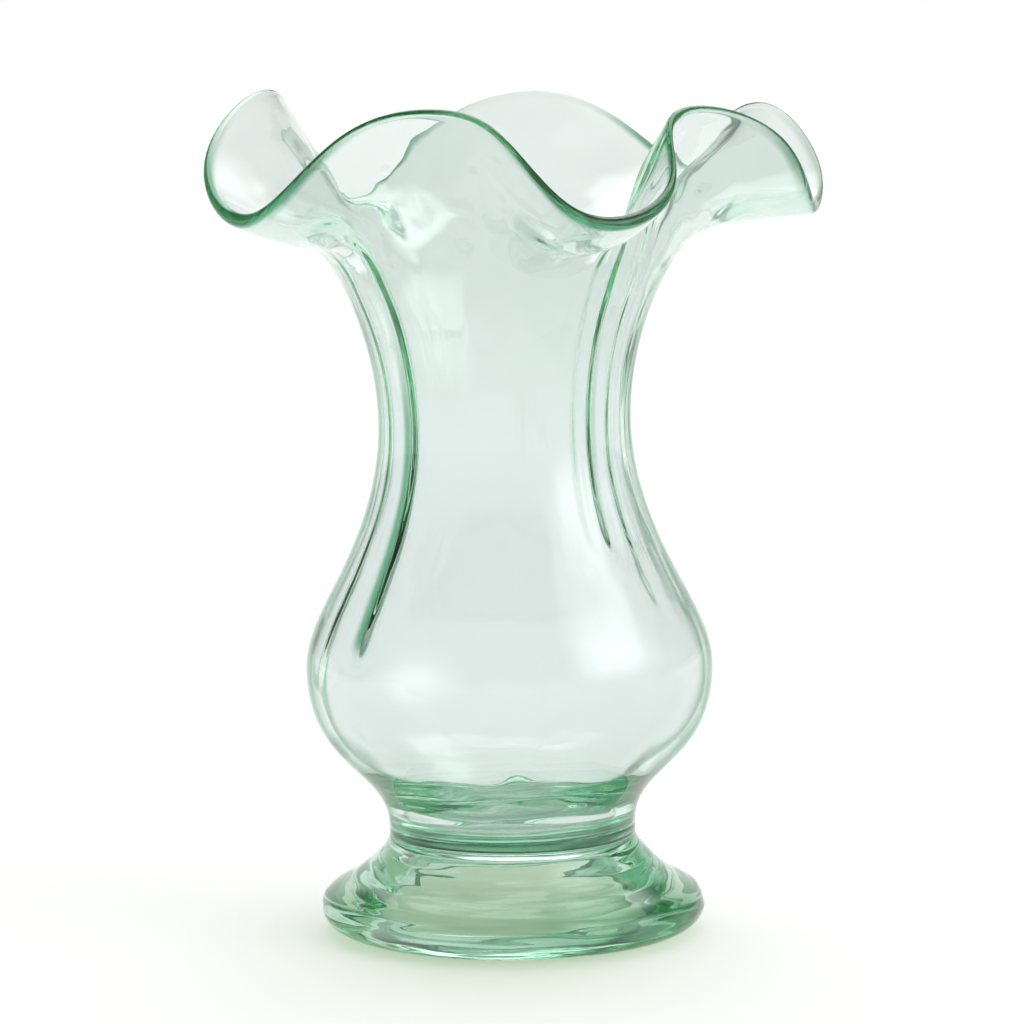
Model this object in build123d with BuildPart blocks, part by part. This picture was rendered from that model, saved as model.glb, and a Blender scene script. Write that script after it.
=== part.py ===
from build123d import *
import os
from math import atan2, cos, degrees, exp, hypot, radians, sin

# A footed vase of pale green glass with a ruffled lip. Three pieces are joined hot: a blown bowl, a merese
# (the wafer of glass at the waist) and a hollow foot. Millimetres and degrees. The foot stands on z = 0,
# centred on the Z axis, and the front of the vase faces -Y.

# Foot: a hollow cone that ends in a thick rolled rim
foot_radius = 55.6
foot_height = 28.0
roll_height = 7.5  # where the rolled rim is widest
shoulder_radius = 47.0  # where the rolled rim turns into the cone
shoulder_height = 16.2
cone_slope = 26.6  # slope of the cone at its shoulder
rest_radius = 43.0  # outer edge of the flat ring that the vase stands on
rest_width = 3.0
crown_thickness = 2.0  # glass left above the hollow
hollow_radius = 27.0  # the hollow at its top
hollow_edge_depth = 3.0  # how far its rounded top edge lies below its top
hollow_slope = 62.0  # how steeply the side of the hollow leaves that edge
bore_slope = 60.0  # and how steeply it meets the flat ring

# Merese: the wafer that joins the bowl to the foot
waist_radius = 35.6
merese_thickness = 3.0
merese_edge_radius = 0.5

# Bowl: radii are of its outside, and heights go up its own axis from the merese
belly_radius = 58.7
belly_rise = 46.0
neck_radius = 36.3
neck_rise = 117.0
throat_radius = 43.2  # where the ruffle begins
throat_rise = 151.0
throat_slope = 67.0  # slope of the wall there
wall = 2.8
base_wall = 5.0  # glass beside the well, the narrow bottom of the inside, at the waist
floor_thickness = 1.5
well_corner = 4.0  # the rounding between the well's side and its floor
floor_dish = 0.3  # the middle of the floor lies this much lower
base_hollow = 0.2  # and the middle of the underside this much higher
bowl_lean = 0.64  # the hand-set bowl stands a little out of plumb, towards -X

# Lip: a circle that five waves lift and pull out
lip_radius = 84.0
lip_rise = 194.0
wave_rise = 16.0
wave_reach = 12.0
dip_slope = 5.0  # slope of the glass at the lip, in the dip of a wave
crest_slope = 53.0  # and on its crest
throat_run_length = 21.0  # how far the glass runs on, straight, from the throat
dip_run_length = 33.0  # and, in a dip, into the lip
crest_run_length = 17.0  # and, on a crest, into the lip
lip_stations = 60  # sections through the bowl, evenly spaced along its lip

# A wave has a dip, a rising side, a crest and a falling side. Each has its angle from the front towards +X,
# and its shares of wave_reach and wave_rise. The lip was pulled by hand, so no two waves are alike.
waves = [
    [(-149, 0.70, -0.86), (-131, -0.20, 0.41), (-117, -0.80, 1.11), (-84, 0.00, -0.01)],
    [(-56, -0.05, -0.91), (-33, -0.65, 0.53), (-13, -0.55, 0.91), (-2, 0.10, 0.67)],
    [(14, 0.75, -0.86), (35, -0.15, -0.45), (49, -1.60, 0.68), (76, -0.15, 0.20)],
    [(95, 0.65, -1.10), (105, 1.05, -0.43), (115, 0.15, 0.71), (130, -0.25, -0.10)],
    [(141, 0.55, -0.62), (156, 0.20, 0.42), (173, -0.65, 0.95), (195, -0.05, 0.24)],
]

# In some dips the soft glass sagged: the middle of each sag, as an angle from the front, and its share
sags = [(-149, 0.6), (-56, 1.0), (20, 1.25), (141, 0.6)]
sag_breadth = 24.0  # degrees from its middle to where a sag has faded to about a third
sag_slope = 20.0  # how much steeper a sag makes the glass at the lip
sag_run_length = 9.0  # and how much farther the glass runs on from the throat

# Shares: how far a curve runs straight on from its start and into its end, as shares of its own size
roll_under_shares = (0.64, 0.66)
roll_over_shares = (0.58, 0.58)
cone_shares = (0.38, 0.16)
hollow_top_shares = (0.48, 0.11)
hollow_side_shares = (0.38, 0.31)
waist_shares = (0.365, 0.61)
shoulder_shares = (0.25, 0.48)
neck_shares = (0.335, 0.335)
inner_waist_shares = (0.53, 0.33)
heel_shares = (0.62, 0.42)
corner_shares = (0.50, 0.50)

joint_height = foot_height + merese_thickness
bore_radius = rest_radius - rest_width
hollow_height = foot_height - crown_thickness
well_radius = waist_radius - base_wall
floor_radius = well_radius - well_corner
lean = radians(bowl_lean)
bowl_frame = Plane(
    origin=(0, 0, joint_height), x_dir=(cos(lean), 0, sin(lean)), z_dir=(-sin(lean), 0, cos(lean))
)


def along(point, slope, distance):
    """The point moved by a distance up a slope, which is measured from the outward direction."""
    return (point[0] + distance * cos(radians(slope)), point[1] + distance * sin(radians(slope)))


def wall_curve(start, end, start_slope, end_slope, start_run, end_run):
    """A smooth curve that leaves its start and reaches its end on two given slopes."""
    return Bezier(start, along(start, start_slope, start_run), along(end, end_slope, -end_run), end)


def upright_curve(start, end, shares):
    """A smooth curve between two places where the wall stands upright."""
    rise = end[1] - start[1]
    return wall_curve(start, end, 90, 90, shares[0] * rise, shares[1] * rise)


def meridian(angle):
    """The plane from the bowl's axis outward at an angle: its x is a radius and its y a height."""
    outward = bowl_frame.x_dir * sin(radians(angle)) - bowl_frame.y_dir * cos(radians(angle))
    return Plane(origin=bowl_frame.origin, x_dir=outward, z_dir=outward.cross(bowl_frame.z_dir))


def sag_share(angle):
    """How much the glass sagged at an angle from the front."""
    total = 0
    for middle, share in sags:
        away = (angle - middle + 180) % 360 - 180
        total += share * exp(-((away / sag_breadth) ** 2))
    return total


def export(name, solid):
    """Label a finished piece, write it and say how large it is."""
    solid.label = name
    export_step(solid, f"parts/{name}.step")
    print(name, "volume", round(solid.volume), "size", solid.bounding_box().size)


os.makedirs("parts", exist_ok=True)

# Foot: one revolved section, from the flat ring up over the rolled rim and the cone, and back through the hollow
with BuildPart() as foot:
    with BuildSketch(Plane.XZ):
        with BuildLine():
            rest_edge = (rest_radius, 0)
            roll_edge = (foot_radius, roll_height)
            shoulder = (shoulder_radius, shoulder_height)
            waist = (waist_radius, foot_height)
            hollow_edge = (hollow_radius, hollow_height - hollow_edge_depth)
            bore_edge = (bore_radius, 0)
            roll_width = foot_radius - shoulder_radius
            cone_height = foot_height - shoulder_height
            Line(bore_edge, rest_edge)
            wall_curve(
                rest_edge,
                roll_edge,
                0,
                90,
                roll_under_shares[0] * (foot_radius - rest_radius),
                roll_under_shares[1] * roll_height,
            )
            wall_curve(
                roll_edge,
                shoulder,
                90,
                180 - cone_slope,
                roll_over_shares[0] * (shoulder_height - roll_height),
                roll_over_shares[1] * roll_width,
            )
            wall_curve(
                shoulder,
                waist,
                180 - cone_slope,
                90,
                cone_shares[0] * (shoulder_radius - waist_radius),
                cone_shares[1] * cone_height,
            )
            Polyline(waist, (0, foot_height), (0, hollow_height))
            Bezier(
                (0, hollow_height),
                (hollow_top_shares[0] * hollow_radius, hollow_height),
                ((1 - hollow_top_shares[1]) * hollow_radius, hollow_height),
                hollow_edge,
            )
            wall_curve(
                hollow_edge,
                bore_edge,
                -hollow_slope,
                -bore_slope,
                hollow_side_shares[0] * (bore_radius - hollow_radius),
                hollow_side_shares[1] * hollow_height,
            )
        make_face()
    revolve(axis=Axis.Z)
export("foot", foot.part)

# Merese: a wafer with softened edges, whose top takes up the lean of the bowl
with BuildPart() as merese:
    with BuildSketch(Plane.XY.offset(foot_height)):
        Circle(waist_radius)
    extrude(amount=2 * merese_thickness)
    split(bisect_by=bowl_frame, keep=Keep.BOTTOM)
    fillet(merese.edges().filter_by(GeomType.LINE, reverse=True), merese_edge_radius)
export("merese", merese.part)

# The line of the lip, in the bowl's own frame
lip_points = []
for wave in waves:
    for angle, reach, lift in wave:
        radius = lip_radius + reach * wave_reach
        height = lip_rise + lift * wave_rise
        lip_points.append((radius * sin(radians(angle)), -radius * cos(radians(angle)), height))
with BuildLine(bowl_frame) as lip:
    Spline(lip_points, periodic=True)

belly = (belly_radius, belly_rise)
neck = (neck_radius, neck_rise)
throat = (throat_radius, throat_rise)
belly_inside = (belly_radius - wall, belly_rise)
neck_inside = (neck_radius - wall, neck_rise)
throat_inside = along(throat, throat_slope + 90, wall)
well_edge = (well_radius, floor_thickness + well_corner)
floor_edge = (floor_radius, floor_thickness)
neck_runs = [share * (throat_rise - neck_rise) for share in neck_shares]

# Halfway from the waist to the belly the inside follows the outside at the wall's thickness
with BuildLine() as waist_side:
    upright_curve((waist_radius, 0), belly, waist_shares)
waist_middle = waist_side.line @ 0.5
waist_heading = waist_side.line % 0.5
waist_slope = degrees(atan2(waist_heading.Y, waist_heading.X))
waist_inside = along((waist_middle.X, waist_middle.Y), waist_slope + 90, wall)
waist_runs = [share * (belly_rise - waist_inside[1]) for share in inner_waist_shares]
heel_runs = [share * (waist_inside[0] - well_radius) for share in heel_shares]
corner_runs = [share * well_corner for share in corner_shares]


def bowl_section(place):
    """The closed section of the bowl's wall, from waist to lip to floor, that ends at a place on the lip."""
    angle = degrees(atan2(place.X, -place.Y))
    sag = sag_share(angle)
    crest_share = 0.5 + (place.Z - lip_rise) / (2 * wave_rise)
    slope = dip_slope + crest_share * (crest_slope - dip_slope) + sag * sag_slope
    throat_run = throat_run_length + sag * sag_run_length
    lip_run = dip_run_length + crest_share * (crest_run_length - dip_run_length)
    edge = (hypot(place.X, place.Y), place.Z)
    middle = along(edge, slope, -wall / 2)
    under = along(middle, slope - 90, wall / 2)
    over = along(middle, slope + 90, wall / 2)
    with BuildSketch(meridian(angle)) as section:
        with BuildLine():
            upright_curve((waist_radius, 0), belly, waist_shares)
            upright_curve(belly, neck, shoulder_shares)
            wall_curve(neck, throat, 90, throat_slope, *neck_runs)
            wall_curve(throat, under, throat_slope, slope, throat_run, lip_run)
            ThreePointArc(under, edge, over)
            wall_curve(over, throat_inside, slope + 180, throat_slope + 180, lip_run, throat_run)
            wall_curve(throat_inside, neck_inside, throat_slope + 180, -90, *reversed(neck_runs))
            upright_curve(neck_inside, belly_inside, shoulder_shares[::-1])
            wall_curve(belly_inside, waist_inside, -90, waist_slope + 180, *waist_runs)
            wall_curve(waist_inside, well_edge, waist_slope + 180, -90, *heel_runs)
            wall_curve(well_edge, floor_edge, -90, 180, *corner_runs)
            Polyline(floor_edge, (floor_radius - base_hollow, 0), (waist_radius, 0))
        make_face()
    return section.sketch.face()


# Bowl: the wall is one closed loft of those sections around the axis, and a disc closes the floor
sections = [
    bowl_section(bowl_frame.to_local_coords(lip.line @ (station / lip_stations)))
    for station in range(lip_stations)
]
with BuildPart() as bowl:
    loft(sections + sections[:1])
    with BuildSketch(bowl_frame.offset(base_hollow)):
        Circle((floor_radius + waist_radius) / 2)
    extrude(amount=floor_thickness - floor_dish - base_hollow)
export("bowl", bowl.part)
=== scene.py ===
# %% [markdown]
# # A ruffled vase of pale green glass
# The vase is blown by hand. A bubble of glass becomes the bowl, and while it is soft its lip is opened
# out and pulled into five waves. A wafer of hot glass, called a merese, joins it to a hollow foot. The
# solids of these three pieces are loaded first and stay where they are. Every mesh below is made in the
# same frame, in metres, with the foot on z = 0 and the front of the vase towards -Y.

# %% Load the solids
from math import atan2, copysign, cos, degrees, exp, hypot, radians, sin, tan

import bpy
import numpy as np
from mathutils import Matrix, Vector, kdtree, noise
from mathutils.geometry import interpolate_bezier


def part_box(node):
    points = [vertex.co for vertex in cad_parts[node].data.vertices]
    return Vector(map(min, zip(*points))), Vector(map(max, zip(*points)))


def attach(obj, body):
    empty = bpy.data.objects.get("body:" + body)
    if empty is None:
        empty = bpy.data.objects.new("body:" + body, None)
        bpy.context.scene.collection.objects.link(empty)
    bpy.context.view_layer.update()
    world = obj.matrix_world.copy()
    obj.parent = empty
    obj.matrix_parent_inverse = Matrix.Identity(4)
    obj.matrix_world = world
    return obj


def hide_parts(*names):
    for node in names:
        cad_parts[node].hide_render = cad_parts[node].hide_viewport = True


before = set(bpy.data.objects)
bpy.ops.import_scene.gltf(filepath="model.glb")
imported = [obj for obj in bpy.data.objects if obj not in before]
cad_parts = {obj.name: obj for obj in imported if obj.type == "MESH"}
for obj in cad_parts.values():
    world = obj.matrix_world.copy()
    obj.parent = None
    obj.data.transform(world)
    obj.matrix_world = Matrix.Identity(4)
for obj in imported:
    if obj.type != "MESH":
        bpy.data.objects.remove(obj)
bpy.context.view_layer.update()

MM = 0.001
scene = bpy.context.scene

# %% [markdown]
# ## Camera
# The picture of the vase was taken from its front, a little above the lip's height, with a long lens
# from over a metre away, so that the foot and the lip are seen at almost the same scale. The camera
# comes first. A long lens on Blender's standard sensor, 36 mm wide, does the same.

# %% Camera
camera_distance = 1.327
camera_height = 0.2776
camera_lens = 163.2
camera_tilt = 6.71
camera_turn = -0.025
camera_roll = -0.47

camera = bpy.data.objects.new("camera", bpy.data.cameras.new("camera"))
camera.data.lens = camera_lens
camera.data.clip_start = 0.01
camera.matrix_world = (
    Matrix.Translation((0, -camera_distance, camera_height))
    @ Matrix.Rotation(radians(camera_turn), 4, "Z")
    @ Matrix.Rotation(radians(90 - camera_tilt), 4, "X")
    @ Matrix.Rotation(radians(camera_roll), 4, "Z")
)
scene.collection.objects.link(camera)
scene.camera = camera
print("camera", tuple(camera.location), "lens", camera.data.lens)

# %% [markdown]
# ## The line of the lip
# The lip is a circle that was pulled into five waves with a tool, so no two waves are alike. Each wave
# is four places: its dip, its rising side, its crest and its falling side. A place has an angle from
# the front and its shares of how far a wave reaches out and how high it rises. A closed cubic spline
# runs through all of them. A Bezier curve with automatic handles would do too, but the spline bends
# more evenly, as soft glass does.

# %% Lip line
lip_radius = 84 * MM
lip_rise = 194 * MM
wave_rise = 16 * MM
wave_reach = 12 * MM
waves = [
    [(-149, 0.70, -0.86), (-131, -0.20, 0.41), (-117, -0.80, 1.11), (-84, 0.00, -0.01)],
    [(-56, -0.05, -0.91), (-33, -0.65, 0.53), (-13, -0.55, 0.91), (-2, 0.10, 0.67)],
    [(14, 0.75, -0.86), (35, -0.15, -0.45), (49, -1.60, 0.68), (76, -0.15, 0.20)],
    [(95, 0.65, -1.10), (105, 1.05, -0.43), (115, 0.15, 0.71), (130, -0.25, -0.10)],
    [(141, 0.55, -0.62), (156, 0.20, 0.42), (173, -0.65, 0.95), (195, -0.05, 0.24)],
]


def closed_spline(points, count):
    """Evenly spaced points on the smooth closed curve through some points."""
    points = np.array(points)
    gaps = np.linalg.norm(np.roll(points, -1, 0) - points, axis=1)
    before = np.roll(gaps, 1)
    size = len(points)
    matrix = np.zeros((size, size))
    for i in range(size):
        matrix[i, i - 1] += before[i]
        matrix[i, i] += 2 * (before[i] + gaps[i])
        matrix[i, (i + 1) % size] += gaps[i]
    rise = (np.roll(points, -1, 0) - points) / gaps[:, None]
    bend = np.linalg.solve(matrix, 6 * (rise - np.roll(rise, 1, 0)))
    knots = np.concatenate([[0], np.cumsum(gaps)])
    places = np.arange(count) * knots[-1] / count
    i = np.searchsorted(knots, places, side="right") - 1
    j = (i + 1) % size
    gap = gaps[i][:, None]
    past = (places - knots[i])[:, None]
    left = gap - past
    return (
        (bend[i] * left**3 + bend[j] * past**3) / (6 * gap)
        + (points[i] / gap - bend[i] * gap / 6) * left
        + (points[j] / gap - bend[j] * gap / 6) * past
    )


stations = 320
lip_places = []
for wave in waves:
    for angle, reach, lift in wave:
        radius = lip_radius + reach * wave_reach
        height = lip_rise + lift * wave_rise
        lip_places.append((radius * sin(radians(angle)), -radius * cos(radians(angle)), height))
lip_line = closed_spline(lip_places, stations).tolist()
lip_heights = [place[2] for place in lip_line]
print("lip", stations, "stations, heights", min(lip_heights), "to", max(lip_heights))

# %% [markdown]
# ## The section of the bowl
# Cut through the axis, the wall of the bowl is one smooth line: out from the waist to the belly, in to
# the neck, and out again over the throat into the ruffle. Bezier curves draw such a line with few
# numbers, because each handle is only a slope and a length. Below the throat the section is the same
# all round. Above it, each station of the lip has a section of its own, flat in a dip and steep on a
# crest. The sizes are those of the solids, and the waist and the foot's height are read from them.

# %% Sizes of the bowl
foot_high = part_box("foot")[1]
merese_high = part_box("merese")[1]
waist_radius = merese_high.x
foot_height = foot_high.z
merese_thickness = 3 * MM
joint_height = foot_height + merese_thickness
waist = Vector((waist_radius, 0))
belly = Vector((58.7, 46)) * MM
neck = Vector((36.3, 117)) * MM
throat = Vector((43.2, 151)) * MM
throat_slope = 67
wall = 2.8 * MM
print("waist radius", round(waist_radius, 4), "joint height", round(joint_height, 4))


# %% Curves of a section
def along(point, slope, distance):
    """The point moved by a distance up a slope."""
    return point + distance * Vector((cos(radians(slope)), sin(radians(slope))))


def wall_curve(start, end, slopes, runs, steps):
    """Points of a smooth curve that leaves its start and reaches its end on two slopes."""
    leave = along(start, slopes[0], runs[0])
    arrive = along(end, slopes[1], -runs[1])
    return interpolate_bezier(start, leave, arrive, end, steps)


def upright_curve(start, end, shares, steps):
    """A curve between two places where the wall stands upright."""
    rise = end.y - start.y
    turn = 90 if rise > 0 else -90
    return wall_curve(start, end, (turn, turn), [share * abs(rise) for share in shares], steps)


def joined(*curves):
    """Several curves as one list of points, without the double ones where they meet."""
    points = list(curves[0])
    for curve in curves[1:]:
        points += curve[1:]
    return points


# %% Outside, below the throat
neck_runs = [0.335 * (throat.y - neck.y)] * 2
outside = joined(
    upright_curve(waist, belly, (0.365, 0.61), 36),
    upright_curve(belly, neck, (0.25, 0.48), 44),
    wall_curve(neck, throat, (90, throat_slope), neck_runs, 20),
)
print("outside", len(outside), "points")

# %% [markdown]
# ## The inside
# The bubble has almost the same wall all the way down, so the inside runs beside the outside. At the
# waist, where tongs squeezed the bubble, it narrows to a well with a rounded bottom. Clear glass shows
# its inside as much as its outside, so a Solidify modifier with one thickness isn't enough here: the
# inside is drawn as a line of its own.

# %% Inside, below the throat
belly_inside = belly - Vector((wall, 0))
neck_inside = neck - Vector((wall, 0))
throat_inside = along(throat, throat_slope + 90, wall)
heel_slope = 45.6
heel_point = 18
heel = along(outside[heel_point], heel_slope + 90, wall)
well_edge = Vector((30.6, 5.5)) * MM
floor_edge = Vector((26.6, 1.5)) * MM
floor_dish = 0.3 * MM
inside = joined(
    wall_curve(throat_inside, neck_inside, (throat_slope + 180, -90), neck_runs, 20),
    upright_curve(neck_inside, belly_inside, (0.48, 0.25), 44),
    wall_curve(belly_inside, heel, (-90, heel_slope + 180), (13.4 * MM, 8.3 * MM), 18),
    wall_curve(heel, well_edge, (heel_slope + 180, -90), (9.0 * MM, 6.0 * MM), 18),
    wall_curve(well_edge, floor_edge, (-90, 180), (2.0 * MM, 2.0 * MM), 7),
)
print("inside", len(inside), "points, floor at", round(joint_height + floor_edge.y, 4))

# %% [markdown]
# ## The ruffle
# Above the throat the hot sheet hangs between the crests that were pulled up. On a crest it stands
# steep, and in a dip it lies almost flat and sags. A cloth simulation would sag too, but its shape is
# hard to steer, so each station's slope and sag are set from how high the lip is there. The flame
# rounded the edge into a bead, and the bead is fuller in the dips, where the glass ran together.

# %% Ruffle
dip_slope, crest_slope = 5, 53
throat_run, dip_run, crest_run = 21 * MM, 33 * MM, 17 * MM
dip_lip, crest_lip = 4.4 * MM, 2.6 * MM
lip_inset = 0.15 * MM
# Each sag: its angle and how strong it is.
sags = [(-149, 0.6), (-56, 1.0), (20, 1.25), (141, 0.6)]
sag_breadth = 24
sag_slope = 20
sag_run = 9 * MM


def bump(angle, middle, breadth):
    """A smooth bump round the axis: 1 at its middle, and about a third at its breadth from there."""
    away = (angle - middle + 180) % 360 - 180
    return exp(-((away / breadth) ** 2))


def crest_share(place):
    """How far up a wave a place on the lip is: 0 in a middling dip, 1 on a middling crest."""
    return 0.5 + (place[2] - lip_rise) / (2 * wave_rise)


def ruffle(place):
    """The outside, the bead and the inside of the ruffle up to a place on the lip."""
    edge = Vector((hypot(place[0], place[1]), place[2]))
    angle = degrees(atan2(place[0], -place[1]))
    sag = sum(share * bump(angle, middle, sag_breadth) for middle, share in sags)
    crest = crest_share(place)
    slope = dip_slope + crest * (crest_slope - dip_slope) + sag * sag_slope
    start_run = throat_run + sag * sag_run
    run = dip_run + crest * (crest_run - dip_run)
    bead = (dip_lip + crest * (crest_lip - dip_lip)) / 2
    middle = along(edge, slope, -bead - lip_inset)
    under = along(middle, slope - 90, bead)
    over = along(middle, slope + 90, bead)
    up = wall_curve(throat, under, (throat_slope, slope), (start_run, run), 40)
    turn = [along(middle, slope + bend, bead) for bend in range(-90, 91, 15)]
    down = wall_curve(over, throat_inside, (slope + 180, throat_slope + 180), (run, start_run), 40)
    return up, turn, down


print("ruffle", sum(len(curve) for curve in ruffle(lip_line[0])), "points")

# %% [markdown]
# ## Marks of the hand
# Blown glass is never even. The folds of the ruffle run on down the neck as soft ribs on its inside,
# the wall swells and thins, fine cords follow the way the glass was drawn, and the tongs left rings at
# the waist. All of these bend the light that passes through, so they are made in the mesh, as small
# moves of its points out of or into the glass. A bump texture would bend the light too, but the mesh
# would stay smooth. Blender's own noise gives the same result at every run.

# %% Ribs
# Each rib: its angle, its thickness in mm, its breadth in degrees, and the height in mm where it starts.
front_ribs = [(-70, 0.5, 3, 42), (-52, 1.6, 5, 46), (36, 0.7, 3, 80), (46, 1.3, 4, 76), (58, 0.5, 3, 60)]
back_ribs = [(-152, 0.9, 6, 60), (128, 1.0, 5, 60), (170, 0.8, 6, 70)]
rib_fade = 14 * MM


def fade(value, start, end):
    """A smooth step from 0 at start to 1 at end."""
    share = min(max((value - start) / (end - start), 0), 1)
    return share * share * (3 - 2 * share)


def rib_swell(angle, height):
    """How much thicker the ribs make the wall at an angle and height."""
    swell = 0
    for middle, size, breadth, low in front_ribs + back_ribs:
        swell += size * MM * bump(angle, middle, breadth) * fade(height, low * MM, low * MM + rib_fade)
    return swell


print("ribs", len(front_ribs + back_ribs), "swell at the front left", rib_swell(-52, neck.y))


# %% Unevenness of the bowl
def waver(spot, across, tall, shift):
    """Smooth noise at a spot, from -1 to 1, with waves of a given size. Each shift gives others."""
    return noise.noise(Vector((spot.x / across + shift, spot.y / across, spot.z / tall)))


wall_depth, wall_wave = 0.25 * MM, (14 * MM, 40 * MM)
dent_depth, dent_wave = 0.35 * MM, (11 * MM, 11 * MM)
drawn_depth, drawn_wave = 0.12 * MM, (4 * MM, 110 * MM)
tong_depth, tong_wave = 0.35 * MM, (18 * MM, 4 * MM)
# Between each pair of heights the dents and the cords grow, and the rings of the tongs fade.
dent_heights, drawn_heights, tong_heights = (146 * MM, 168 * MM), (45 * MM, 80 * MM), (10 * MM, 26 * MM)


def bowl_mark(spot, angle, height, inner):
    """How far a point of the bowl's wall is moved out of the glass."""
    swing = wall_depth * waver(spot, *wall_wave, 3 if inner else 11)
    ruffled = fade(height, *dent_heights)
    swing += dent_depth * ruffled * waver(spot, *dent_wave, 23 if inner else 31)
    if inner:
        drawn = fade(height, *drawn_heights)
        squeezed = 1 - fade(height, *tong_heights)
        swing += rib_swell(angle, height)
        swing += drawn_depth * drawn * waver(spot, *drawn_wave, 17)
        swing += tong_depth * squeezed * waver(spot, *tong_wave, 7)
    return swing


print("marks up to", max(wall_depth, dent_depth, drawn_depth, tong_depth), "m deep, and the ribs")

# %% [markdown]
# ## The bowl
# One closed skin takes all the sections, from the middle of the underside, up the outside, round the
# bead, down the inside and to the middle of the floor. A Screw modifier turns one section round an
# axis, but here every section is different, so the mesh is made point by point. The bowl was set on the
# foot by hand and leans a little. It overlaps the merese by a tenth of a millimetre, because a gap of
# air between two pieces of glass would show as a mirror.

# %% Section and skin
lean = radians(0.64)
bowl_place = Matrix.Translation((0, 0, joint_height)) @ Matrix.Rotation(-lean, 4, "Y")
overlap = 0.1 * MM


def turned(points, angle):
    """The points of a section, set round the axis at an angle from the front."""
    turn = radians(angle)
    return [Vector((point.x * sin(turn), -point.x * cos(turn), point.y)) for point in points]


def normals(points):
    """The direction out of the glass at each point of a section."""
    found = []
    for before, after in zip(points[:1] + points[:-1], points[1:] + points[-1:]):
        heading = (after - before).normalized()
        found.append(Vector((heading.y, -heading.x)))
    return found


def closed_mesh(name, sections, place):
    """A mesh of one section per station round the axis. Each section starts and ends on the axis."""
    rows = len(sections[0]) - 2
    points = [sections[0][0], sections[0][-1]]
    for section in sections:
        points += section[1:-1]
    faces = []
    for i in range(len(sections)):
        first = 2 + i * rows
        other = 2 + (i + 1) % len(sections) * rows
        faces.append((0, other, first))
        faces += [(first + j, other + j, other + j + 1, first + j + 1) for j in range(rows - 1)]
        faces.append((first + rows - 1, other + rows - 1, 1))
    mesh = bpy.data.meshes.new(name)
    mesh.from_pydata([place @ point for point in points], [], faces)
    mesh.polygons.foreach_set("use_smooth", [True] * len(mesh.polygons))
    piece = bpy.data.objects.new(name, mesh)
    scene.collection.objects.link(piece)
    print(name, len(mesh.vertices), "points", len(mesh.polygons), "faces")
    return piece


print("lean", round(degrees(lean), 2), "degrees, overlap", overlap)

# %% Bowl mesh
# Counted in points from the middle of the lip: the bead stays smooth, and from there the marks grow.
smooth_points, marked_points = 7, 18
under_shares = (0, 0.5, 0.97)


def bowl_section(place):
    """The section of the bowl at a station of the lip, with the marks of the hand."""
    angle = degrees(atan2(place[0], -place[1]))
    up, turn, down = ruffle(place)
    points = joined(outside, up, turn, down, inside)
    lip_middle = len(outside) + len(up) + len(turn) // 2 - 2
    moved = []
    for i, (point, normal, spot) in enumerate(zip(points, normals(points), turned(points, angle))):
        marked = fade(abs(i - lip_middle), smooth_points, marked_points)
        moved.append(point + marked * bowl_mark(spot, angle, point.y, i > lip_middle) * normal)
    under = [Vector((share * waist_radius, -overlap)) for share in under_shares]
    floor_middle = Vector((0, floor_edge.y - floor_dish))
    floor = wall_curve(moved[-1], floor_middle, (180, 180), (8 * MM, 10 * MM), 10)
    return turned(under + moved + floor[1:], angle)


bowl = closed_mesh("bowl_glass", [bowl_section(place) for place in lip_line], bowl_place)

# %% [markdown]
# ## Painted green shade along the edge
# A sheet of this glass looks almost colourless, but light that runs along the sheet comes out at its
# edge deep green, most of all in the dips, where the bead is full. That green is painted here as shade:
# each point of the mesh gets a number that says how much of it it carries. The steep side of the wave at
# the front right is as full as a dip, and the edge at the far right is thin. The thick ribs of the neck
# get the painted green too, on the side that faces the front, as light is caught in them. The material
# reads the number below as an attribute. It could be painted by hand as a vertex colour, but the
# distance to the lip's line gives a cleaner border.

# %% Painted shade of the edge
bead_reach, bead_end = 2.2 * MM, 3.4 * MM
pale_start, pale_full, paleness = 0.35, 0.95, 0.95
full_side = (40, 10)
thin_side, thinness = (102, 22), 0.65
full_rib = 1.6 * MM
thick_share, rib_lead = 0.6, 3
rib_green_end = (115 * MM, 160 * MM)
bowl_frame = bowl_place.inverted()
lip_tree = kdtree.KDTree(stations)
for i, place in enumerate(lip_line):
    lip_tree.insert(bowl_place @ Vector(place), i)
lip_tree.balance()
green = []
for vertex in bowl.data.vertices:
    spot, i, away = lip_tree.find(vertex.co)
    lip_angle = degrees(atan2(spot.x, -spot.y))
    fullness = 1 - paleness * fade(crest_share(lip_line[i]), pale_start, pale_full)
    fullness = max(fullness, bump(lip_angle, *full_side)) * (1 - thinness * bump(lip_angle, *thin_side))
    local = bowl_frame @ vertex.co
    angle = degrees(atan2(local.x, -local.y))
    rib = rib_swell(angle + copysign(rib_lead, angle), local.z) / full_rib
    rib_shade = fade(rib, thick_share, 1) * (1 - fade(local.z, *rib_green_end))
    green.append(max(fullness * (1 - fade(away, bead_reach, bead_end)), rib_shade))
bowl.data.attributes.new("painted_edge_shade", "FLOAT", "POINT").data.foreach_set("value", green)
print("edge", sum(share > 0.5 for share in green), "points carry the green")

# %% [markdown]
# ## The foot
# The foot is a gather of its own, turned into a hollow cone that ends in a thick rolled rim. It stands
# on a narrow ring that was ground flat. Its outline is drawn once, from the top of the hollow, out
# under the rim and up to the waist, and turned round the axis. The tool that shaped it left rings, so
# each point is moved by noise that is long along the rim and short up it.

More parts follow.
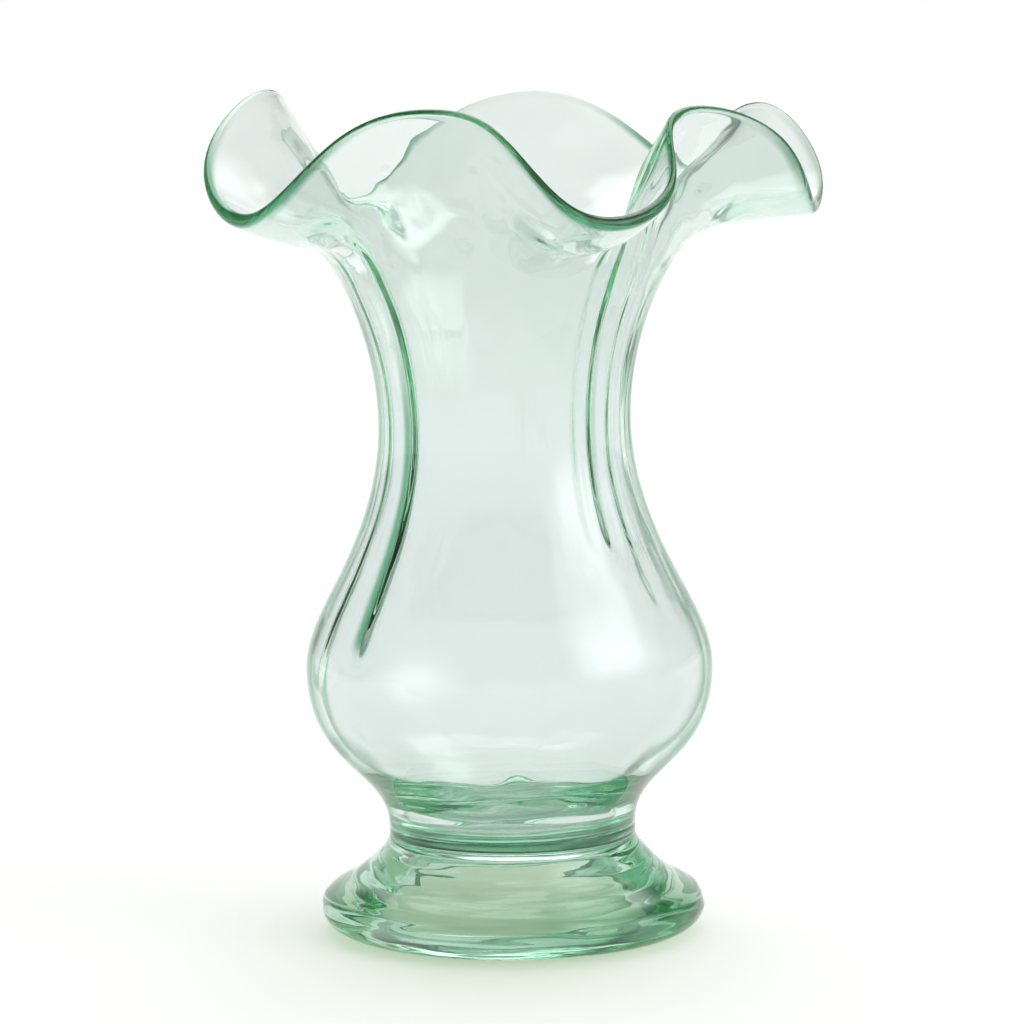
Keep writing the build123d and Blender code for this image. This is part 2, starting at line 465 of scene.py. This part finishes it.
# %% Outline of the foot
foot_radius = foot_high.x
bore = Vector((40 * MM, 0))
rest = Vector((43 * MM, 0))
roll = Vector((foot_radius, 7.5 * MM))
shoulder = Vector((47, 16.2)) * MM
cone_slope = 26.6
crown = Vector((0, foot_height - 2 * MM))
hollow_edge = Vector((27 * MM, crown.y - 3 * MM))
cone_top = Vector((waist_radius, foot_height))
foot_middle = Vector((0, foot_height))
foot_outline = joined(
    wall_curve(crown, hollow_edge, (0, -45), (13 * MM, 4.2 * MM), 16),
    wall_curve(hollow_edge, bore, (-62, -60), (5 * MM, 8 * MM), 32),
    wall_curve(bore, rest, (0, 0), (1 * MM, 1 * MM), 4),
    wall_curve(rest, roll, (0, 90), (8.1 * MM, 5 * MM), 24),
    wall_curve(roll, shoulder, (90, 180 - cone_slope), (5 * MM, 5 * MM), 20),
    wall_curve(shoulder, cone_top, (180 - cone_slope, 90), (4.3 * MM, 1.9 * MM), 24),
    wall_curve(cone_top, foot_middle, (180, 180), (12 * MM, 12 * MM), 5),
)
print("foot outline", len(foot_outline), "points")

# %% Foot mesh
foot_stations = 256
ring_depth, ring_wave, ring_sink = 0.4 * MM, (26 * MM, 4 * MM), 0.4
scratch_depth, scratch_wave = 0.2 * MM, (30 * MM, 1.6 * MM)
rings_start, rings_end = (0.2 * MM, 3 * MM), (foot_height - 2.5 * MM, foot_height)


def foot_section(angle):
    """The section of the foot at an angle, with its rings."""
    moved = []
    for point, normal, spot in zip(foot_outline, normals(foot_outline), turned(foot_outline, angle)):
        free = fade(point.y, *rings_start) * (1 - fade(point.y, *rings_end))
        depth = ring_depth * (waver(spot, *ring_wave, 5) - ring_sink)
        depth += scratch_depth * waver(spot, *scratch_wave, 9)
        moved.append(point + free * depth * normal)
    return turned(moved, angle)


angles = [i * 360 / foot_stations for i in range(foot_stations)]
foot = closed_mesh("foot_glass", [foot_section(angle) for angle in angles], Matrix())

# %% [markdown]
# ## The merese
# The merese is a wafer of hot glass, dropped between the bowl and the foot and pressed flat. Its edge
# is rounded, and its top is tilted by as much as the bowl leans. It is turned from an outline as the
# foot is.

# %% Merese mesh
rounding = 0.5 * MM
low, high = foot_height - overlap, joint_height + overlap
low_edge = Vector((waist_radius - rounding, low))
high_edge = Vector((waist_radius - rounding, high))
widest = Vector((waist_radius, (low + high) / 2))
merese_outline = joined(
    wall_curve(Vector((0, low)), low_edge, (0, 0), (12 * MM, 12 * MM), 8),
    wall_curve(low_edge, widest, (0, 90), (rounding, 0.9 * MM), 6),
    wall_curve(widest, high_edge, (90, 180), (0.9 * MM, rounding), 6),
    wall_curve(high_edge, Vector((0, high)), (180, 180), (12 * MM, 12 * MM), 8),
)


def merese_section(angle):
    """The section of the merese at an angle. Its top takes up the lean of the bowl."""
    moved = []
    for point in merese_outline:
        share = (point.y - low) / (high - low)
        moved.append(point + Vector((0, share * point.x * sin(radians(angle)) * tan(lean))))
    return turned(moved, angle)


merese = closed_mesh("merese_glass", [merese_section(angle) for angle in angles], Matrix())

# %% [markdown]
# ## Colours and nodes
# Colours are written as sRGB hex values, as a paint program shows them, and shaders want linear ones,
# so one function turns them. Another adds a node, sets it and links it in one line, so that the trees
# below read from top to bottom.


# %% Colours and nodes
def linear(hex_colour):
    """An sRGB hex colour as the linear colour that shaders use."""
    channels = [int(hex_colour[i : i + 2], 16) / 255 for i in (1, 3, 5)]
    return [c / 12.92 if c <= 0.04045 else ((c + 0.055) / 1.055) ** 2.4 for c in channels] + [1]


def add(tree, kind, inputs=None, **settings):
    """Add a node with its settings. An input takes either another node's output or a plain value."""
    node = tree.nodes.new(kind)
    for name, value in settings.items():
        setattr(node, name, value)
    for name, value in (inputs or {}).items():
        if isinstance(value, bpy.types.NodeSocket):
            tree.links.new(value, node.inputs[name])
        else:
            node.inputs[name].default_value = value
    return node


def empty_tree(owner):
    """The node tree of a material or world, with its starting nodes removed."""
    owner.use_nodes = True
    owner.node_tree.nodes.clear()
    return owner.node_tree


print("linear green", [round(channel, 3) for channel in linear("#2F8A5A")])

# %% [markdown]
# ## Glass
# The vase is soda-lime glass, blown and fire polished, with a little iron in it. Iron takes out red
# light first and blue next, so the colour lies in the body of the glass and grows with the way light
# goes through it. Volume Absorption does just that: a wall of 3 mm stays pale and the rim of the foot
# turns green. A green Base Color alone would tint thick and thin places alike.

# %% Body of the glass
glass = bpy.data.materials.new("soda-lime glass, blown and fire polished")
tree = empty_tree(glass)
body = add(tree, "ShaderNodeVolumeAbsorption", {"Color": linear("#00D592"), "Density": 13})
where = add(tree, "ShaderNodeTexCoord")
axes = add(tree, "ShaderNodeSeparateXYZ", {0: where.outputs["Object"]})
print(glass.name, "absorbs at density", body.inputs["Density"].default_value)

# %% [markdown]
# The skin isn't the same everywhere. In soft patches, stronger towards the lip, the neck and the ruffle
# are painted a little greyer than the belly. This is painted shade for the greyer surround seen through
# them.
# The rim of the foot has cords: long thin streaks of greener glass. Towards the right they are painted
# greener and run together, as painted shade for the darker light on that side. The lip and the thick
# ribs carry a painted green shade along the edge. Each of these is one step of the skin's tint. One flat
# Base
# Color would be quicker, but it would look like cast plastic.

# %% Tint of the skin
painted_grey_patch = 22 * MM
painted_grey_start, painted_grey_full = 100 * MM, 215 * MM
cloud_low, cloud_high, painted_grey_least = 0.3, 0.7, 0.5
position = where.outputs["Object"]
cloud = add(tree, "ShaderNodeTexNoise", {"Vector": position, "Scale": 1 / painted_grey_patch, "Detail": 2})
# Painted shade: soft patches of grey that grow towards the lip.
painted_grey = add(
    tree,
    "ShaderNodeMapRange",
    {0: cloud.outputs["Fac"], 1: cloud_low, 2: cloud_high, 3: painted_grey_least, 4: 1.0},
)
towards_lip = add(
    tree, "ShaderNodeMapRange", {0: axes.outputs["Z"], 1: painted_grey_start, 2: painted_grey_full, 3: 0.0, 4: 1.0}
)
painted_grey = add(tree, "ShaderNodeMath", {0: towards_lip.outputs[0], 1: painted_grey.outputs[0]}, operation="MULTIPLY")
# Painted shade: the grey patches turn the skin greyer towards the lip.
tint = add(
    tree,
    "ShaderNodeMix",
    {"Factor": painted_grey.outputs[0], 6: linear("#F3F6F6"), 7: linear("#E8EFEC")},
    data_type="RGBA",
)
print("film in patches of", painted_grey_patch)

# %% Cords in the foot, with painted shade on the right
cord_length, cord_height = 40 * MM, 1.8 * MM
cord_low, cord_high, side_shade_least = 0.4, 0.6, 0.2
rim_full, rim_end = 9 * MM, 16 * MM
side_fill_start, side_fill_full, side_fill_most = -5 * MM, 35 * MM, 0.9
side_shade_start, side_shade_end = -30 * MM, 50 * MM
stretch = (1 / cord_length, 1 / cord_length, 1 / cord_height)
spot = add(tree, "ShaderNodeVectorMath", {0: position, 1: stretch}, operation="MULTIPLY")
cords = add(tree, "ShaderNodeTexNoise", {"Vector": spot.outputs[0], "Scale": 1, "Detail": 2})
# Painted shade: towards the right the cords run together and fill more of the rim.
painted_side_fill = add(
    tree,
    "ShaderNodeMapRange",
    {0: axes.outputs["X"], 1: side_fill_start, 2: side_fill_full, 3: 0.0, 4: side_fill_most},
)
cords = add(
    tree,
    "ShaderNodeMapRange",
    {0: cords.outputs["Fac"], 1: cord_low, 2: cord_high, 3: painted_side_fill.outputs[0], 4: 1.0},
)
in_rim = add(tree, "ShaderNodeMapRange", {0: axes.outputs["Z"], 1: rim_full, 2: rim_end, 3: 1.0, 4: 0.0})
# Painted shade: the cords grow greener towards the right, where the light is darker.
painted_side_shade = add(
    tree,
    "ShaderNodeMapRange",
    {0: axes.outputs["X"], 1: side_shade_start, 2: side_shade_end, 3: side_shade_least, 4: 1.0},
)
for share in (in_rim, painted_side_shade):
    cords = add(tree, "ShaderNodeMath", {0: cords.outputs[0], 1: share.outputs[0]}, operation="MULTIPLY")
tint = add(
    tree,
    "ShaderNodeMix",
    {"Factor": cords.outputs[0], 6: tint.outputs[2], 7: linear("#3BA674")},
    data_type="RGBA",
)
# Painted shade: the green along the lip's edge and the ribs, read from the mesh.
edge = add(tree, "ShaderNodeAttribute", attribute_name="painted_edge_shade")
tint = add(
    tree,
    "ShaderNodeMix",
    {"Factor": edge.outputs["Fac"], 6: tint.outputs[2], 7: linear("#2F8A5A")},
    data_type="RGBA",
)
print("cords", cord_length, "long and", cord_height, "high")

# %% [markdown]
# At its outline the wall is seen along its length, and there it shows its green as a thin line. Here
# that
# line is painted shade: Layer Weight tells how far the skin turns away from the eye, and the last part
# of that turn is painted green. A white room fills that line with light from all round, so the painted
# line makes it a little stronger. The ruffle, which is seen flat, and the foot are left out.

# %% Painted shade along the outline
painted_outline_start, painted_outline_full = 0.64, 0.8
foot_end, bowl_start = 24 * MM, 30 * MM
neck_end, ruffle_start = 175 * MM, 200 * MM
# Painted shade: a green line where the skin turns away from the eye.
weight = add(tree, "ShaderNodeLayerWeight", {"Blend": 0.5})
painted_outline = add(
    tree,
    "ShaderNodeMapRange",
    {0: weight.outputs["Facing"], 1: painted_outline_start, 2: painted_outline_full, 3: 0.0, 4: 1.0},
)
under_ruffle = add(
    tree, "ShaderNodeMapRange", {0: axes.outputs["Z"], 1: neck_end, 2: ruffle_start, 3: 1.0, 4: 0.0}
)
over_foot = add(
    tree, "ShaderNodeMapRange", {0: axes.outputs["Z"], 1: foot_end, 2: bowl_start, 3: 0.0, 4: 1.0}
)
for share in (under_ruffle, over_foot):
    painted_outline = add(tree, "ShaderNodeMath", {0: painted_outline.outputs[0], 1: share.outputs[0]}, operation="MULTIPLY")
tint = add(
    tree,
    "ShaderNodeMix",
    {"Factor": painted_outline.outputs[0], 6: tint.outputs[2], 7: linear("#1A7348")},
    data_type="RGBA",
)
print("line from", painted_outline_start, "to", painted_outline_full, "of the turn away from the eye")

# %% [markdown]
# Fire polishing leaves glass as smooth as it can be, so its roughness is zero, except on the ring that
# the foot stands on, which was ground flat and is satin. Fine drawing lines, too shallow for the mesh,
# run up the wall: they are about 1.5 mm apart on such glass, and drawn at 3 mm here so that they show.
# They only shift what is seen through the wall a little.

# %% Polish and drawing lines
ground_depth, satin = 0.25 * MM, 0.35
ground = add(
    tree, "ShaderNodeMapRange", {0: axes.outputs["Z"], 1: 0.0, 2: ground_depth, 3: satin, 4: 0.0}
)
line_width, line_length = 3 * MM, 60 * MM
stretch = (1 / line_width, 1 / line_width, 1 / line_length)
spot = add(tree, "ShaderNodeVectorMath", {0: position, 1: stretch}, operation="MULTIPLY")
lines = add(tree, "ShaderNodeTexNoise", {"Vector": spot.outputs[0], "Scale": 1, "Detail": 1})
relief = add(
    tree, "ShaderNodeBump", {"Strength": 0.12, "Distance": 0.03 * MM, "Height": lines.outputs["Fac"]}
)
skin = add(
    tree,
    "ShaderNodeBsdfPrincipled",
    {
        "Base Color": tint.outputs[2],
        "Roughness": ground.outputs[0],
        "IOR": 1.52,
        "Transmission Weight": 1,
        "Normal": relief.outputs[0],
    },
)
print("IOR", skin.inputs["IOR"].default_value)

# %% [markdown]
# Light that reaches the floor through glass would need many more samples than a picture has time for.
# So for shadow rays, and for rays that leave the floor, the skin is clear with a slight tint, which
# leaves a soft pale shadow. To the eye it stays glass.

# %% Shadow of the glass
path = add(tree, "ShaderNodeLightPath")
shading = add(
    tree,
    "ShaderNodeMath",
    {0: path.outputs["Is Shadow Ray"], 1: path.outputs["Is Diffuse Ray"]},
    operation="MAXIMUM",
)
clear = add(tree, "ShaderNodeBsdfTransparent", {"Color": linear("#EEF2E8")})
surface = add(
    tree, "ShaderNodeMixShader", {0: shading.outputs[0], 1: skin.outputs[0], 2: clear.outputs[0]}
)
add(tree, "ShaderNodeOutputMaterial", {"Surface": surface.outputs[0], "Volume": body.outputs[0]})

for piece, node in ((bowl, "bowl"), (merese, "merese"), (foot, "foot")):
    piece.data.materials.append(glass)
    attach(piece, "root")
    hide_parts(node)
    print(piece.name, "replaces", node)

# %% [markdown]
# ## The floor
# The vase stands on a sweep of matte white paper that runs far back. Paper in this light comes out a
# little below white, so a slight lift, for rays from the eye and through or off the glass, brings it to
# white. The lift is a plain amount that adds no light to the vase, and the shadow stays.

# %% Floor
floor_reach = 30.0
floor_lift = 0.17
corners = [(-1, -1), (1, -1), (1, 1), (-1, 1)]
floor_mesh = bpy.data.meshes.new("floor")
floor_mesh.from_pydata([(x * floor_reach, y * floor_reach, 0) for x, y in corners], [], [(0, 1, 2, 3)])
floor = bpy.data.objects.new("floor", floor_mesh)
scene.collection.objects.link(floor)
paper = bpy.data.materials.new("matte white paper")
floor_mesh.materials.append(paper)
tree = empty_tree(paper)
matte = add(tree, "ShaderNodeBsdfDiffuse", {"Color": linear("#EDEDED")})
path = add(tree, "ShaderNodeLightPath")
seen = path.outputs["Is Camera Ray"]
for ray in ("Is Glossy Ray", "Is Transmission Ray"):
    seen = add(tree, "ShaderNodeMath", {0: seen, 1: path.outputs[ray]}, operation="MAXIMUM").outputs[0]
lift = add(tree, "ShaderNodeMath", {0: seen, 1: floor_lift}, operation="MULTIPLY")
glow = add(tree, "ShaderNodeEmission", {"Strength": lift.outputs[0]})
lit = add(tree, "ShaderNodeAddShader", {0: matte.outputs[0], 1: glow.outputs[0]})
add(tree, "ShaderNodeOutputMaterial", {"Surface": lit.outputs[0]})
print("floor", 2 * floor_reach, "m across")

# %% [markdown]
# ## The studio
# Glass has no colour of its own to light: it shows what stands around it. So the studio is drawn in the
# world, by direction, where both reflections and the light come from. Behind the vase is a white
# backdrop. The room is white at the level of the eye and falls to grey overhead and at the wings, which
# draws the outlines of the glass. Area lamps would do the same, but their hard edges would show in
# every curve.

# %% Room and backdrop
world = bpy.data.worlds.new("studio")
scene.world = world
tree = empty_tree(world)
ceiling_start, ceiling_grey = 0.6, 0.3
wing_start, wing_full, wing_grey = -0.3, 0.0, 0.6
way = add(tree, "ShaderNodeTexCoord").outputs["Generated"]
axes = add(tree, "ShaderNodeSeparateXYZ", {0: way})
room = add(
    tree, "ShaderNodeMapRange", {0: axes.outputs["Z"], 1: 0.0, 2: ceiling_start, 3: 1.0, 4: ceiling_grey}
)
wings = add(
    tree,
    "ShaderNodeMapRange",
    {0: axes.outputs["Y"], 1: wing_start, 2: wing_full, 3: 1.0, 4: wing_grey},
    interpolation_type="SMOOTHSTEP",
)
room = add(tree, "ShaderNodeMath", {0: room.outputs[0], 1: wings.outputs[0]}, operation="MULTIPLY")
edge_angle, full_angle = 42, 24
backdrop_edge, backdrop_full = cos(radians(edge_angle)), cos(radians(full_angle))
level = add(
    tree,
    "ShaderNodeMapRange",
    {0: axes.outputs["Y"], 1: backdrop_edge, 2: backdrop_full, 3: room.outputs[0], 4: 1.0},
    interpolation_type="SMOOTHSTEP",
)
print("backdrop white within", full_angle, "degrees")

# %% [markdown]
# Two soft boxes light the vase: one overhead and a little behind, which draws the lip and lays the
# shadow, and a tall one at the right, like a window, which draws the upright highlights on the belly.

# %% Overhead box
overhead = Vector((0.05, 0.45, 0.9)).normalized()
towards = add(tree, "ShaderNodeVectorMath", {0: way, 1: overhead}, operation="DOT_PRODUCT")
box_edge, box_full, box_strength = cos(radians(34)), cos(radians(20)), 3.0
above = add(
    tree,
    "ShaderNodeMapRange",
    {0: towards.outputs["Value"], 1: box_edge, 2: box_full, 3: 0.0, 4: box_strength},
    interpolation_type="SMOOTHSTEP",
)
level = add(tree, "ShaderNodeMath", {0: level.outputs[0], 1: above.outputs[0]}, operation="ADD")
print("overhead box towards", tuple(round(part, 2) for part in overhead))

# %% Window
window_turn = radians(68)
window_way = (sin(window_turn), -cos(window_turn), 0)
flat_way = add(tree, "ShaderNodeVectorMath", {0: way, 1: (1, 1, 0)}, operation="MULTIPLY")
flat_way = add(tree, "ShaderNodeVectorMath", {0: flat_way.outputs[0]}, operation="NORMALIZE")
towards = add(
    tree, "ShaderNodeVectorMath", {0: flat_way.outputs[0], 1: window_way}, operation="DOT_PRODUCT"
)
pane_edge, pane_full, pane_strength = cos(radians(34)), cos(radians(8)), 2.5
window = add(
    tree,
    "ShaderNodeMapRange",
    {0: towards.outputs["Value"], 1: pane_edge, 2: pane_full, 3: 0.0, 4: pane_strength},
    interpolation_type="SMOOTHSTEP",
)
pane_top, pane_foot = (0.9, 0.45), (-0.05, 0.35)
for end, full in (pane_top, pane_foot):
    share = add(
        tree,
        "ShaderNodeMapRange",
        {0: axes.outputs["Z"], 1: end, 2: full, 3: 0.0, 4: 1.0},
        interpolation_type="SMOOTHSTEP",
    )
    factors = {0: window.outputs[0], 1: share.outputs[0]}
    window = add(tree, "ShaderNodeMath", factors, operation="MULTIPLY")
level = add(tree, "ShaderNodeMath", {0: level.outputs[0], 1: window.outputs[0]}, operation="ADD")
print("window at", round(degrees(window_turn)), "degrees to the right of the front")

# %% Sky
path = add(tree, "ShaderNodeLightPath")
seen = path.outputs["Is Camera Ray"]
level = add(tree, "ShaderNodeMath", {0: level.outputs[0], 1: seen}, operation="MAXIMUM")
sky = add(tree, "ShaderNodeBackground", {"Color": linear("#FFFFFF"), "Strength": level.outputs[0]})
add(tree, "ShaderNodeOutputWorld", {"Surface": sky.outputs[0]})
print(world.name, "made of", len(tree.nodes), "nodes")

# %% [markdown]
# ## Light paths
# Light runs along inside the lip and the rim for a long way before it leaves them. With Blender's usual
# number of bounces it is lost there, and the edges turn black, so the limits are raised. The Standard
# view shows colours as they are written.

# %% Light paths
bounces, clear_bounces = 128, 32
scene.cycles.max_bounces = bounces
scene.cycles.transmission_bounces = bounces
scene.cycles.glossy_bounces = bounces
scene.cycles.transparent_max_bounces = clear_bounces
scene.view_settings.view_transform = "Standard"
print("bounces", bounces)
